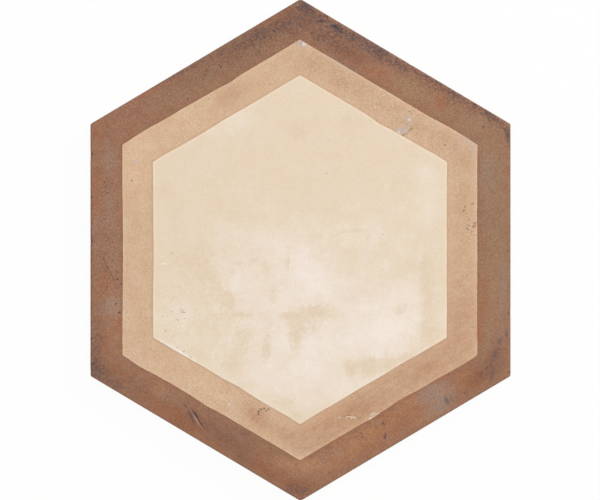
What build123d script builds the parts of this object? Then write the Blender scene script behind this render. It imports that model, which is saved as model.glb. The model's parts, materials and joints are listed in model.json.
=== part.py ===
# Hexagonal floor tile, pressed and fired in one piece, lying face up.
# The face is a border, a band and a field: hexagons one inside another, each a little higher than the
# last. The flank is upright below the arris and then leans in. The back has a level rim and a honeycomb of
# shallow pockets, so that it keys into its bed.

import os
from math import atan, ceil, cos, radians, sqrt, tan

from build123d import *

# Outline of the face, in millimetres: two sides run along Y, and four slope to a point at each end
ACROSS_FLATS = 200.0
ACROSS_POINTS = 239.0
SIDE_LENGTH = 120.0
CORNER_RADIUS = 1.2

# Section at the edge
THICKNESS = 9.5
ARRIS_RADIUS = 0.8
LAND_HEIGHT = 4.5
FLANK_DRAFT = 6.0

# Relief of the face
BORDER_AT_SIDES = 15.5
BORDER_AT_SLOPES = 16.5
BAND_WIDTH = 14.6
STEP_HEIGHT = 0.15
STEP_RADIUS = 0.1
STEP_CORNER_RADIUS = 1.6

# Keying of the back: a honeycomb of pockets inside a level rim
RIM_WIDTH = 8.0
POCKET_SIZE = 22.0
POCKET_CORNER_RADIUS = 2.0
RIB_WIDTH = 5.0
POCKET_DEPTH = 0.8
POCKET_DRAFT = 30.0
LEAST_POCKET_SHARE = 0.3

# Levels and slopes that follow from the sizes above
SLOPE = atan((ACROSS_POINTS - SIDE_LENGTH) / ACROSS_FLATS)
BORDER_LEVEL = THICKNESS - 2 * STEP_HEIGHT
SHOULDER_LEVEL = BORDER_LEVEL - LAND_HEIGHT
FOOT_INSET = SHOULDER_LEVEL * tan(radians(FLANK_DRAFT))


def hexagon(inset_at_sides, inset_at_slopes, corner_radius):
    """The tile's outline, drawn in from its edge, with rounded corners."""
    half_width = ACROSS_FLATS / 2 - inset_at_sides
    point = ACROSS_POINTS / 2 - inset_at_slopes / cos(SLOPE)
    half_side = point - half_width * tan(SLOPE)
    outline = Polygon(
        (half_width, -half_side),
        (half_width, half_side),
        (0, point),
        (-half_width, half_side),
        (-half_width, -half_side),
        (0, -point),
        align=None,
    )
    return fillet(outline.vertices(), corner_radius)


def top_edges(solid):
    """The edges round the highest face of a solid."""
    return solid.faces().sort_by(Axis.Z)[-1].edges()


def slab():
    """The body up to the border: a leaning flank, an upright land and an eased arris."""
    outline = Pos(0, 0, SHOULDER_LEVEL) * hexagon(0, 0, CORNER_RADIUS)
    foot = hexagon(FOOT_INSET, FOOT_INSET, CORNER_RADIUS)
    flank = loft([foot.face(), outline.face()], ruled=True)
    land = extrude(outline, LAND_HEIGHT)
    return flank + fillet(top_edges(land), ARRIS_RADIUS)


def raised_field(inset_at_sides, inset_at_slopes, level):
    """One step of the face, with its edge rounded over."""
    outline = Pos(0, 0, level) * hexagon(inset_at_sides, inset_at_slopes, STEP_CORNER_RADIUS)
    step = extrude(outline, STEP_HEIGHT)
    return fillet(top_edges(step), min(STEP_RADIUS, 0.9 * STEP_HEIGHT))


def honeycomb_places():
    """The centres of the pockets. Every other row is half a pitch over, and a rib crosses the middle."""
    pitch = POCKET_SIZE + RIB_WIDTH
    row_pitch = pitch * sqrt(3) / 2
    last_column = ceil(ACROSS_FLATS / 2 / pitch)
    last_row = ceil(ACROSS_POINTS / 2 / row_pitch)
    places = []
    for row in range(-last_row, last_row + 1):
        shift = pitch / 2 if row % 2 == 0 else 0
        for column in range(-last_column, last_column + 1):
            places.append(Pos(column * pitch + shift, row * row_pitch))
    return places


def honeycomb_cell(across_flats):
    """One cell of the honeycomb, with two sides along Y and rounded corners."""
    cell = RegularPolygon(across_flats / 2, 6, major_radius=False, rotation=30)
    return fillet(cell.vertices(), POCKET_CORNER_RADIUS)


def drafted(mouth, floor):
    """A pocket that narrows from its mouth, on the bed plane, to its floor."""
    return loft([mouth.face(), (Pos(0, 0, POCKET_DEPTH) * floor).face()], ruled=True)


def key_pockets():
    """The pockets of the back. The rim cuts the outer ones short or leaves them out."""
    inset = FOOT_INSET + RIM_WIDTH
    draft = POCKET_DEPTH * tan(radians(POCKET_DRAFT))
    keyed_zone = drafted(
        hexagon(inset, inset, CORNER_RADIUS),
        hexagon(inset + draft, inset + draft, CORNER_RADIUS),
    )
    whole = drafted(honeycomb_cell(POCKET_SIZE), honeycomb_cell(POCKET_SIZE - 2 * draft))
    pockets = []
    for place in honeycomb_places():
        pocket = (place * whole) & keyed_zone
        if pocket and pocket.volume > LEAST_POCKET_SHARE * whole.volume:
            pockets.append(pocket)
    return pockets


band = raised_field(BORDER_AT_SIDES, BORDER_AT_SLOPES, BORDER_LEVEL)
field = raised_field(
    BORDER_AT_SIDES + BAND_WIDTH,
    BORDER_AT_SLOPES + BAND_WIDTH,
    BORDER_LEVEL + STEP_HEIGHT,
)
floor_tile = slab() + band + field - key_pockets()

os.makedirs("parts", exist_ok=True)
export_step(floor_tile, "parts/floor_tile.step")
print("floor_tile", floor_tile.bounding_box().size, "volume", round(floor_tile.volume), "mm3")
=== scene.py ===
# %% [markdown]
# # A hexagonal floor tile
# The tile is pressed from clay and fired in one piece. Its face has a dark border, a tan band and a
# cream field, hexagons one inside another, each a hair higher than the last. The solid is already made
# to size, so this lesson makes what a solid lacks: worn edges, pits and scratches in a dense mesh, and
# four finishes mixed from nodes. Lengths are in millimetres until the mesh is made, because tiles are.

# %% Load the solid as a fixed frame
import json
import math

import bmesh
import bpy
import numpy as np
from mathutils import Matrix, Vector, noise

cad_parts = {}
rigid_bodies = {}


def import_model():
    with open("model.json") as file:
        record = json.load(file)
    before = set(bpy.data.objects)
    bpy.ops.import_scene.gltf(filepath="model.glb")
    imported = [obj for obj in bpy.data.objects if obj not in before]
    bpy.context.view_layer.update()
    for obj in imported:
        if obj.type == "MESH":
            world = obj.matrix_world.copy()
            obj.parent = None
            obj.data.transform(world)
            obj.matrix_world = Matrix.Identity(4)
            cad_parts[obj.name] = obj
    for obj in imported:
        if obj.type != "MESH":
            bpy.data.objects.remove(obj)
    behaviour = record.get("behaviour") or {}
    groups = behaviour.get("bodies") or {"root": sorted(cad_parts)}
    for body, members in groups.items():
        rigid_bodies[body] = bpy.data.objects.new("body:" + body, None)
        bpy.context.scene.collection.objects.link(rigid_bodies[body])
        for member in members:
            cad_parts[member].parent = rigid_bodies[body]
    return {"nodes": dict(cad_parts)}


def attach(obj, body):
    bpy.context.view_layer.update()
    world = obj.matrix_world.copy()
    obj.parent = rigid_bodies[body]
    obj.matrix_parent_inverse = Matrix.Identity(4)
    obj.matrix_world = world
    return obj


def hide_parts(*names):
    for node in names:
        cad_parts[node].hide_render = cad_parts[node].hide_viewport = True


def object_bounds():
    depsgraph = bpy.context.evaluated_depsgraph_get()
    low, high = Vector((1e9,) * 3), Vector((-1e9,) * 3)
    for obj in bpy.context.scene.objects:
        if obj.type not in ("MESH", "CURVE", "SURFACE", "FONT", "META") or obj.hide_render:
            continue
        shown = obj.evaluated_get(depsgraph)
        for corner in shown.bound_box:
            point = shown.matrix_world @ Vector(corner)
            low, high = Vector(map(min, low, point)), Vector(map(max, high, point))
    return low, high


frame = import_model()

MM = 0.001
solid_low, solid_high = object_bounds()
solid_size = (solid_high - solid_low) / MM
print("solid tile:", [round(length, 2) for length in solid_size], "mm")

# %% [markdown]
# ## Camera
# The picture looks straight down on the tile. A short lens would show the joint edges and shrink the
# face towards its corners, so the lens is long and the camera far off, as a catalogue photographer
# would do it. The distance follows from how much of the face's plane the picture is wide.

# %% Camera
PICTURE_WIDTH = 285.46
TILE_RIGHT_OF_MIDDLE = 0.23
LENS = 200.0
SENSOR = 36.0
THICKNESS = solid_high.z / MM

camera_data = bpy.data.cameras.new("camera")
camera_data.lens = LENS
camera_data.sensor_width = SENSOR
camera = bpy.data.objects.new("camera", camera_data)
camera_height = THICKNESS + PICTURE_WIDTH * LENS / SENSOR
camera.location = Vector((-TILE_RIGHT_OF_MIDDLE, 0, camera_height)) * MM
camera_data.clip_end = 100.0
bpy.context.scene.collection.objects.link(camera)
bpy.context.scene.camera = camera
print("camera", round(camera_height), "mm above the floor")

# %% [markdown]
# ## Node helper
# Every finish below is a node tree, and nodes made one call at a time are hard to read. This small
# class holds one tree and gives its few kinds of node plain names. Places are read from the object's
# own coordinates, so that a finish stays on the tile whatever the camera does, and are turned into
# millimetres, so that a grain of 2 means 2 mm. A value that is the same all over is set on the socket
# itself.

# %% Node helper
def paint(red, green, blue):
    """A colour as a picture shows it, 0 to 255, in the linear light that nodes work with."""
    shown = np.array((red, green, blue)) / 255
    linear = np.where(shown <= 0.04045, shown / 12.92, ((shown + 0.055) / 1.055) ** 2.4)
    return (*linear.tolist(), 1.0)


class Finish:
    """One node tree and the kinds of node that the tile's finishes are mixed from."""

    def __init__(self, tree):
        self.tree = tree
        spot = self.add("ShaderNodeTexCoord").outputs["Object"]
        self.place = self.vector("MULTIPLY", spot, (1 / MM, 1 / MM, 1 / MM))

    def add(self, kind, **settings):
        node = self.tree.nodes.new(kind)
        for name, value in settings.items():
            setattr(node, name, value)
        return node

    def put(self, socket, value):
        if isinstance(value, bpy.types.NodeSocket):
            self.tree.links.new(value, socket)
        else:
            socket.default_value = value

    def math(self, operation, first, second=0.0, clamp=False):
        node = self.add("ShaderNodeMath", operation=operation, use_clamp=clamp)
        self.put(node.inputs[0], first)
        self.put(node.inputs[1], second)
        return node.outputs[0]

    def vector(self, operation, first, second):
        node = self.add("ShaderNodeVectorMath", operation=operation)
        self.put(node.inputs[0], first)
        self.put(node.inputs[1], second)
        return node.outputs["Vector"]

    def reading(self, name):
        """A value that the mesh carries at its points."""
        return self.add("ShaderNodeAttribute", attribute_name=name).outputs["Fac"]

    def rise(self, value, low, high):
        """0 below low, 1 above high and a smooth rise between them. With low above high it falls."""
        node = self.add("ShaderNodeMapRange", interpolation_type="SMOOTHSTEP")
        self.put(node.inputs["Value"], value)
        node.inputs["From Min"].default_value = min(low, high)
        node.inputs["From Max"].default_value = max(low, high)
        node.inputs["To Min"].default_value = 0.0 if low < high else 1.0
        node.inputs["To Max"].default_value = 1.0 if low < high else 0.0
        return node.outputs["Result"]

    def cloud(self, grain, detail=3.0, rough=0.5, other=0.0, place=None):
        """Cloudy noise about 0, with lumps of about that grain. Another number gives other clouds."""
        node = self.add("ShaderNodeTexNoise")
        node.inputs["Scale"].default_value = 1 / grain
        node.inputs["Detail"].default_value = detail
        node.inputs["Roughness"].default_value = rough
        moved = self.vector("ADD", self.place if place is None else place, (other, 2 * other, 3 * other))
        self.put(node.inputs["Vector"], moved)
        return self.math("SUBTRACT", node.outputs[0], 0.5)

    def mix(self, under, over, share):
        """One colour laid over another."""
        node = self.add("ShaderNodeMix", data_type="RGBA")
        self.put(node.inputs[0], share)
        self.put(node.inputs[6], under)
        self.put(node.inputs[7], over)
        return node.outputs[2]

    def tone(self, colour, amount):
        """A colour made lighter or darker by a share that varies about 0."""
        lighter = self.math("ADD", amount, 1.0)
        node = self.add("ShaderNodeVectorMath", operation="SCALE")
        self.put(node.inputs[0], colour)
        self.put(node.inputs["Scale"], lighter)
        return node.outputs["Vector"]


print("a mid brown in linear light:", [round(part, 3) for part in paint(152, 114, 92)[:3]])

# %% [markdown]
# ## Floor
# The tile lies on a pale floor that fills the view. The floor shows its own white to the camera and to
# reflections, and only a part of what you see of it is lit, so the tile keeps a soft contact shadow on a
# white ground without more light on the tile.

# %% Floor
FLOOR_SIZE = 12.0
FLOOR_DROP = 0.05
FLOOR_WHITE = paint(248, 248, 247)
FLOOR_ROUGHNESS = 0.9
SHOWN_AS_WHITE = 0.93

floor_mesh = bpy.data.meshes.new("studio_floor")
half_floor = FLOOR_SIZE / 2
floor_corners = []
for x, y in ((-1, -1), (1, -1), (1, 1), (-1, 1)):
    floor_corners.append((x * half_floor, y * half_floor, -FLOOR_DROP * MM))
floor_mesh.from_pydata(floor_corners, [], [(0, 1, 2, 3)])
floor = bpy.data.objects.new("studio_floor", floor_mesh)
bpy.context.scene.collection.objects.link(floor)

floor_paint = bpy.data.materials.new("studio_floor")
floor_paint.use_nodes = True
floor_finish = Finish(floor_paint.node_tree)
floor_shader = floor_paint.node_tree.nodes["Principled BSDF"]
floor_shader.inputs["Roughness"].default_value = FLOOR_ROUGHNESS
floor_shader.inputs["Base Color"].default_value = FLOOR_WHITE


def seen_directly(finish):
    """1 for the rays that show a surface to the camera, in a mirror or through glass."""
    path = finish.add("ShaderNodeLightPath")
    seen = finish.math("MAXIMUM", path.outputs["Is Camera Ray"], path.outputs["Is Glossy Ray"])
    return finish.math("MAXIMUM", seen, path.outputs["Is Transmission Ray"])


floor_glow = floor_finish.add("ShaderNodeEmission")
floor_mix = floor_finish.add("ShaderNodeMixShader")
floor_share = floor_finish.math("MULTIPLY", seen_directly(floor_finish), SHOWN_AS_WHITE)
floor_finish.put(floor_mix.inputs[0], floor_share)
floor_finish.put(floor_mix.inputs[1], floor_shader.outputs[0])
floor_finish.put(floor_mix.inputs[2], floor_glow.outputs[0])
floor_output = floor_paint.node_tree.nodes["Material Output"]
floor_finish.put(floor_output.inputs["Surface"], floor_mix.outputs[0])
floor_mesh.materials.append(floor_paint)
print("floor", FLOOR_SIZE, "m wide")

# %% [markdown]
# ## Light
# A flat face shows its colours best under one large overhead softbox. A weaker lamp from the upper right
# rakes across the face, so that a groove has a dark wall and a pale one; the gouge has them painted into
# its colour as well. The sky fills the rest. Together they give a white surface a brightness of about 1,
# so a colour comes out as it was mixed.

# %% Light
SKY_FILL = 0.465


def softbox(name, place, size, watts):
    """A square lamp that faces the middle of the tile."""
    lamp = bpy.data.lights.new(name, "AREA")
    lamp.size = size
    lamp.energy = watts
    holder = bpy.data.objects.new(name, lamp)
    holder.location = place
    holder.rotation_euler = (-Vector(place)).to_track_quat("-Z", "Y").to_euler()
    holder.visible_camera = False
    bpy.context.scene.collection.objects.link(holder)
    print(name, watts, "W")


softbox("overhead_softbox", place=(0.0, 0.15, 2.6), size=2.2, watts=28.8)
softbox("raking_lamp", place=(1.5, 1.1, 1.0), size=0.7, watts=15.5)

world = bpy.data.worlds.new("studio_sky")
bpy.context.scene.world = world
world.use_nodes = True
sky = Finish(world.node_tree)
sky_strength = sky.math("MULTIPLY", seen_directly(sky), 1 - SKY_FILL)
background = world.node_tree.nodes["Background"]
background.inputs["Color"].default_value = (1.0, 1.0, 1.0, 1.0)
sky.put(background.inputs["Strength"], sky.math("ADD", sky_strength, SKY_FILL))
bpy.context.scene.view_settings.view_transform = "Standard"

# %% [markdown]
# ## Outline of the face
# Two sides of the hexagon are upright and four slope to a point at each end. It is a little taller than
# a regular hexagon, so its corners are worked out from its width, height and side. One function draws
# the outline at any inset, with its corners rounded, and gives as many points for each side as any
# other inset has. Outlines that match point for point can be stitched into strips of quads.

# %% Outline of the face
ACROSS_FLATS = solid_size.x
ACROSS_POINTS = 239.0
SIDE_LENGTH = 120.0
CORNER_RADIUS = 1.2
POINTS_PER_SIDE = 160
RISE = (ACROSS_POINTS - SIDE_LENGTH) / ACROSS_FLATS
SLOPE = math.atan(RISE)


def hexagon(at_sides, at_slopes, radius):
    """Points round the outline drawn in by that much, and the way inwards from each point."""
    half_width = ACROSS_FLATS / 2 - at_sides
    point = ACROSS_POINTS / 2 - at_slopes / math.cos(SLOPE)
    half_side = point - half_width * RISE
    right = [(half_width, -half_side), (half_width, half_side), (0, point)]
    corners = np.array(right + [(-x, -y) for x, y in right])
    along = np.roll(corners, -1, axis=0) - corners
    length = np.linalg.norm(along, axis=1)
    along = along / length[:, None]
    turn = np.arccos(np.sum(along * np.roll(along, 1, axis=0), axis=1))
    points = []
    ways = []
    for side in range(6):
        first = turn[side] / 2
        last = turn[(side + 1) % 6] / 2
        straight = length[side] - radius * (math.tan(first) + math.tan(last))
        whole = straight + radius * (first + last)
        walked = np.linspace(0, whole, POINTS_PER_SIDE, endpoint=False) - radius * first
        on_straight = np.clip(walked, 0, straight)
        lean = ((walked - on_straight) / radius)[:, None]
        inwards = np.array((-along[side, 1], along[side, 0]))
        way = np.cos(lean) * inwards - np.sin(lean) * along[side]
        foot = corners[side] + np.outer(on_straight + radius * math.tan(first), along[side])
        points.append(foot + radius * (inwards - way))
        ways.append(way)
    return np.concatenate(points), np.concatenate(ways)


outline = hexagon(0, 0, CORNER_RADIUS)[0]
print("outline:", np.ptp(outline, axis=0).round(2), "mm")
print("solid:", round(solid_size.x, 2), "x", round(solid_size.y, 2), "mm")

# %% [markdown]
# ## Edges of the panels
# On the real face no panel has a ruled edge: the colours were laid by hand, or made to look so, and
# each edge wanders by a fraction of a millimetre. Smooth noise read at the edge's own points pushes it
# in and out, and shorter noise tears the band's right side. Each panel also has a few bulges of its
# own, listed where its edge is plainly wavy. The panels' corners are all but sharp, and both
# panels sit a hair left of the middle. The outer edge stays straight.

# %% Edges of the panels
BORDER_AT_SIDES = 15.5
BORDER_AT_SLOPES = 16.5
BAND_WIDTH = 14.6
PANEL_CORNER_RADIUS = 0.6
WANDER = 0.08
WANDER_LENGTH = 13.0
WANDER_WAVES = [(1, 1), (0.5, 2.3), (0.4, 6)]
TORN = 0.16
TORN_FINENESS = 13.0
TORN_FROM = 80.0
BAND_SEED = 1.5
FIELD_SEED = 7.5
BAND_DRAWN_IN = 0.15
FIELD_DRAWN_IN = 0.07
PANELS_TO_LEFT = 0.26
BAND_BULGES = [
    (74, 56, 10, -0.5), (-74, 56, 12, -0.6), (-58, 66, 9, -0.25), (-34, 80.5, 4, 0.45),
    (-84, 32, 9, -0.2), (-84, -1, 14, 0.1), (-84, -37, 8, -0.2), (-76, -55, 8, -0.6),
    (-44, -74, 6, -0.4), (34, -80, 4, -0.3), (48, -71.5, 6, 0.5), (76, -55, 9, -0.5),
]
FIELD_BULGES = [
    (38, 60, 5, 0.55), (65, 44, 8, -0.35), (-65, 44, 7, -0.4), (-36, 62, 5, -0.15),
    (-70, 31, 10, -0.12), (-70, -3, 8, 0.2), (-70, -22, 10, -0.1), (-45, -57, 10, 0.3),
    (-30, -66, 6, 0.6), (-20, -71, 6, 0.2), (-6, -79, 8, 0.4), (10, -78, 10, 0.4), (28, -67, 10, 0.35),
    (46, -56, 9, 0.35),
]


def wandering(points, ways, seed, drawn_in, bulges):
    """An outline pushed in and out along its ways, by noise, by tears and by its bulges."""
    push = []
    for x, y in points:
        spot = Vector((x / WANDER_LENGTH, y / WANDER_LENGTH, seed))
        wave = sum(height * noise.noise(spot * fineness) for height, fineness in WANDER_WAVES)
        tear = noise.noise(spot * TORN_FINENESS) if x > TORN_FROM else 0.0
        push.append(drawn_in + WANDER * wave + TORN * tear)
    push = np.array(push)
    for x, y, reach, amount in bulges:
        push += amount * np.exp(-((points[:, 0] - x) ** 2 + (points[:, 1] - y) ** 2) / reach**2)
    return points + ways * push[:, None] - (PANELS_TO_LEFT, 0)


band_foot, band_in = hexagon(BORDER_AT_SIDES, BORDER_AT_SLOPES, PANEL_CORNER_RADIUS)
band_foot = wandering(band_foot, band_in, BAND_SEED, BAND_DRAWN_IN, BAND_BULGES)
field_at_sides = BORDER_AT_SIDES + BAND_WIDTH
field_at_slopes = BORDER_AT_SLOPES + BAND_WIDTH
field_foot, field_in = hexagon(field_at_sides, field_at_slopes, PANEL_CORNER_RADIUS)
field_foot = wandering(field_foot, field_in, FIELD_SEED, FIELD_DRAWN_IN, FIELD_BULGES)
print("band:", np.ptp(band_foot, axis=0).round(1), "mm, field:", np.ptp(field_foot, axis=0).round(1), "mm")

# %% [markdown]
# ## Rings from the shoulder to the field
# The section of the edge is followed from the shoulder up: the upright land, the eased arris, the level
# border, a step up to the band and another to the field. Each stop on the way is one ring of points. A
# ring also gets a zone number, 0 at the outer edge, 1 at the band's edge and 2 at the field's, so that
# a finish can tell how far it is from an edge that wanders.

# %% Rings from the shoulder to the field
STEP_HEIGHT = 0.15
STEP_RADIUS = 0.1
ARRIS_RADIUS = 0.8
LAND_HEIGHT = 4.5
FIELD_RIM = 3.6
BORDER_RINGS = 24
BAND_RINGS = 23
FIELD_RINGS = 6
LAND_RINGS = 5
ROUND_RINGS = 3
BORDER, BAND, FIELD, BODY = range(4)
border_width = (BORDER_AT_SIDES + BORDER_AT_SLOPES) / 2
field_depth = ACROSS_FLATS / 2 - field_at_sides
border_level = THICKNESS - 2 * STEP_HEIGHT
shoulder_level = border_level - LAND_HEIGHT
quarter = np.linspace(0, math.pi / 2, ROUND_RINGS + 2)[1:]

rings = []


def add_ring(points, level, zone, finish):
    """A ring of the mesh. The finish is that of the strip that ends at it."""
    rings.append((np.column_stack((points, np.full(len(points), level))), zone, finish))


def add_step(foot, ways, level, zone, width, finish):
    """The wall and rounded edge of a panel that stands a step higher. Returns its level edge."""
    wall_top = level + STEP_HEIGHT - STEP_RADIUS
    add_ring(foot, wall_top, zone, finish)
    for angle in quarter:
        inset = STEP_RADIUS * (1 - math.cos(angle))
        height = wall_top + STEP_RADIUS * math.sin(angle)
        add_ring(foot + ways * inset, height, zone + inset / width, finish)
    return foot + ways * STEP_RADIUS


def add_level(start, end, level, zones, count, finish):
    """Evenly spaced rings from one outline to another on a level panel."""
    for share in np.linspace(0, 1, count + 1)[1:]:
        zone = zones[0] + (zones[1] - zones[0]) * share
        add_ring(start + (end - start) * share, level, zone, finish)


for level in np.linspace(shoulder_level, border_level - ARRIS_RADIUS, LAND_RINGS):
    add_ring(outline, level, 0.0, BODY)
for angle in quarter:
    inset = ARRIS_RADIUS * (1 - math.cos(angle))
    level = border_level - ARRIS_RADIUS * (1 - math.sin(angle))
    add_ring(hexagon(inset, inset, CORNER_RADIUS - inset)[0], level, inset / border_width, BORDER)
border_edge = rings[-1][0][:, :2]
add_level(border_edge, band_foot, border_level, (ARRIS_RADIUS / border_width, 1.0), BORDER_RINGS, BORDER)
band_edge = add_step(band_foot, band_in, border_level, 1.0, BAND_WIDTH, BAND)
band_level = border_level + STEP_HEIGHT
add_level(band_edge, field_foot, band_level, (1 + STEP_RADIUS / BAND_WIDTH, 2.0), BAND_RINGS, BAND)
field_edge = add_step(field_foot, field_in, band_level, 2.0, field_depth, FIELD)
rim_end = hexagon(field_at_sides + FIELD_RIM, field_at_slopes + FIELD_RIM, STEP_RADIUS)[0]
rim_zones = (2 + STEP_RADIUS / field_depth, 2 + FIELD_RIM / field_depth)
add_level(field_edge, rim_end, THICKNESS, rim_zones, FIELD_RINGS, FIELD)
print(len(rings), "rings of", len(outline), "points")

# %% [markdown]
# ## Stitching the rings
# Two rings with the same number of points make a strip of quads. Where a ring has half as many points as
# the one beside it, a strip of five-sided faces joins them, so the mesh is fine where the edges and marks
# are and coarser on the plain flank and in the middle of the field.

# %% Stitching the rings
points = []
zones = []
faces = []
finishes = []


def place_points(ring, zone):
    """Adds points to the mesh and returns their numbers."""
    first = len(points)
    points.extend(ring.tolist())
    zones.extend(np.broadcast_to(zone, len(ring)).tolist())
    return np.arange(first, len(points))


def stitch(lower, upper, finish):
    """A strip of faces between two rings. The upper one may have as many points or half as many."""
    each = len(lower) // len(upper)
    after = np.roll(upper, -1)
    for place in range(len(upper)):
        start = place * each
        below = [lower[(start + step) % len(lower)] for step in range(each + 1)]
        faces.append([int(number) for number in below + [after[place], upper[place]]])
        finishes.append(finish)


ring_numbers = [place_points(ring, zone) for ring, zone, finish in rings]
for lower, upper, (ring, zone, finish) in zip(ring_numbers, ring_numbers[1:], rings[1:]):
    stitch(lower, upper, finish)
print(len(points), "points and", len(faces), "faces in the rings")

# %% [markdown]
# ## Middle of the field
# Rings that shrink to a point would crowd there, so the middle of the field is three four-cornered
# patches that meet in the centre, as in the drawing of a cube. Each patch is filled from its four
# edges: a point inside is the blend of the edges across and along, less the blend of the corners.

# %% Middle of the field
MIDDLE_DRAWN_IN = 0.6
PATCH = POINTS_PER_SIDE // 2

last_ring = np.array([points[number] for number in ring_numbers[-1]])
middle_ring = last_ring[::2] * (1 - MIDDLE_DRAWN_IN / field_depth)
middle_ring[:, 2] = THICKNESS


def field_zone(spots):
    """The zone number of points inside the field, from their distance to its nearest side."""
    across = np.abs(spots[:, 0])
    to_slope = (ACROSS_POINTS / 2 - across * RISE - np.abs(spots[:, 1])) * math.cos(SLOPE)
    inset = np.minimum(ACROSS_FLATS / 2 - across - field_at_sides, to_slope - field_at_slopes)
    return 2 + inset / field_depth


middle_numbers = place_points(middle_ring, field_zone(middle_ring))
stitch(ring_numbers[-1], middle_numbers, FIELD)
centre = np.array((0.0, 0.0, THICKNESS))
centre_number = place_points(centre[None], 3.0)
share = (np.arange(1, PATCH) / PATCH)[:, None]
spokes = []
for corner in range(0, 6, 2):
    spoke = centre + (middle_ring[corner * PATCH] - centre) * share
    tip = middle_numbers[corner * PATCH : corner * PATCH + 1]
    spokes.append(np.concatenate((centre_number, place_points(spoke, field_zone(spoke)), tip)))


def fill_patch(number):
    """One of the three patches, between two spokes and two sides of the ring."""
    size = PATCH + 1
    grid = np.zeros((size, size), int)
    start = 2 * number * PATCH
    grid[:, 0] = spokes[number]
    grid[0, :] = spokes[(number + 1) % 3]
    grid[-1, :] = middle_numbers[start : start + size]
    grid[:, -1] = middle_numbers[(start + 2 * PATCH - np.arange(size)) % len(middle_numbers)]
    known = np.array(points)
    along, across = np.meshgrid(np.arange(size) / PATCH, np.arange(size) / PATCH, indexing="ij")
    along = along[:, :, None]
    across = across[:, :, None]
    near, far = known[grid[:, :1]], known[grid[:, -1:]]
    left, right = known[grid[:1, :]], known[grid[-1:, :]]
    corners = (1 - along) * ((1 - across) * near[:1] + across * far[:1])
    corners = corners + along * ((1 - across) * near[-1:] + across * far[-1:])
    filled = (1 - across) * near + across * far + (1 - along) * left + along * right - corners
    inside = filled[1:-1, 1:-1].reshape(-1, 3)
    grid[1:-1, 1:-1] = place_points(inside, field_zone(inside)).reshape(PATCH - 1, PATCH - 1)
    for row in range(PATCH):
        for column in range(PATCH):
            near_pair = (grid[row, column], grid[row + 1, column])
            far_pair = (grid[row + 1, column + 1], grid[row, column + 1])
            faces.append([int(corner) for corner in near_pair + far_pair])
            finishes.append(FIELD)


for number in range(3):
    fill_patch(number)
top_points = len(points)
print(top_points, "points on the face and its edge,", len(faces), "faces")

# %% [markdown]
# ## Flank
# Below the shoulder the flank leans in, so that the tile leaves its mould and grout has room. It is
# plain, so its rings have half as many points, and the ring on the bed plane a quarter.

# %% Flank
FLANK_DRAFT = math.radians(6.0)
FLANK_RINGS = 5

lower_numbers = ring_numbers[0]
for level in np.linspace(shoulder_level, 0, FLANK_RINGS + 1)[1:]:
    inset = (shoulder_level - level) * math.tan(FLANK_DRAFT)
    ring = hexagon(inset, inset, CORNER_RADIUS)[0][::2]
    if level == 0:
        ring = ring[::2]
    numbers = place_points(np.column_stack((ring, np.full(len(ring), level))), 0.0)
    stitch(lower_numbers, numbers, BODY)
    lower_numbers = numbers
print("flank: foot drawn in", round(inset, 2), "mm")

# %% [markdown]
# ## Marks of wear
# A mark is an ellipse: where its middle is, half its length and width, and how far it is turned. Long
# thin ones are scratches, round ones are pits or stains, and several make up an odd shape. A crack or a
# vein is a hairline through a few spots, with one thin mark for each stretch. All of them colour a
# finish. The border's pits, the band's chips and the gouge also press the mesh in, where they are wide
# enough for its points, so a pit is dark where it is deep. Lists of marks are easy to correct against a
# picture, one at a time.

# %% Pits, scratches and veins of the border: x, y, half length, half width, turn
STRETCH_OVERLAP = 1.3


def hairline(half_width, *spots):
    """A thin line through the spots, as marks with one for each stretch."""
    stretches = []
    for (x, y), (next_x, next_y) in zip(spots, spots[1:]):
        half = math.hypot(next_x - x, next_y - y) / 2
        turn = math.degrees(math.atan2(next_y - y, next_x - x))
        stretches.append(((x + next_x) / 2, (y + next_y) / 2, STRETCH_OVERLAP * half, half_width, turn))
    return stretches


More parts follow.
